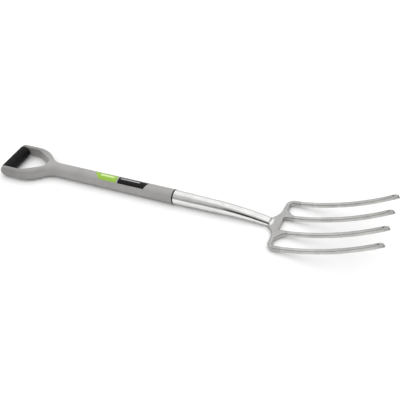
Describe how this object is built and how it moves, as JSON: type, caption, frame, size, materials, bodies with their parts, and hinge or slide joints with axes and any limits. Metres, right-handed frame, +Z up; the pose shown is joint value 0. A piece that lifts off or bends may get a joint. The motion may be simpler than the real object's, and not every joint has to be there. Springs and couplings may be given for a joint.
{
  "type": "digging fork",
  "caption": "Long-handled garden digging fork with bowed steel tines on a forged yoke, a tapered steel socket, a plastic-covered shaft and a Y-shaped D handle with a soft grip.",
  "frame": {"origin": "middle of the bounding box's underside, where the tool rests on the ground lying on its back", "axes": "+X along the shaft from the handle to the tine tips, +Y across the tines, +Z up on the hollow side of the tines"},
  "size_m": [1.0584, 0.1828, 0.1033],
  "materials": {
    "polished_steel": "polished stainless steel",
    "forged_steel": "satin, finely speckled where it was forged and tumbled",
    "tube_steel": "plain drawn tube, hidden",
    "fastener_steel": "plated",
    "grey_plastic": "satin moulded grey",
    "black_plastic": "satin moulded black",
    "black_grip": "matt soft grip",
    "green_label": "glossy printed film, plain green",
    "black_label": "glossy printed film, plain black with a pale edge"
  },
  "bodies": {
    "root": {"shaft_core": "tube_steel", "shaft_sleeve": "grey_plastic", "seal_ring": "black_plastic", "socket": "polished_steel", "socket_rivet": "fastener_steel", "neck_weld": "forged_steel", "yoke": "forged_steel", "handle_frame": "grey_plastic", "handle_screw": "fastener_steel", "grip_sleeve": "black_grip", "label_green": "green_label", "label_black": "black_label", "tine_left_inner": "polished_steel", "tine_left_outer": "polished_steel", "tine_right_inner": "polished_steel", "tine_right_outer": "polished_steel"}
  },
  "joints": []
}
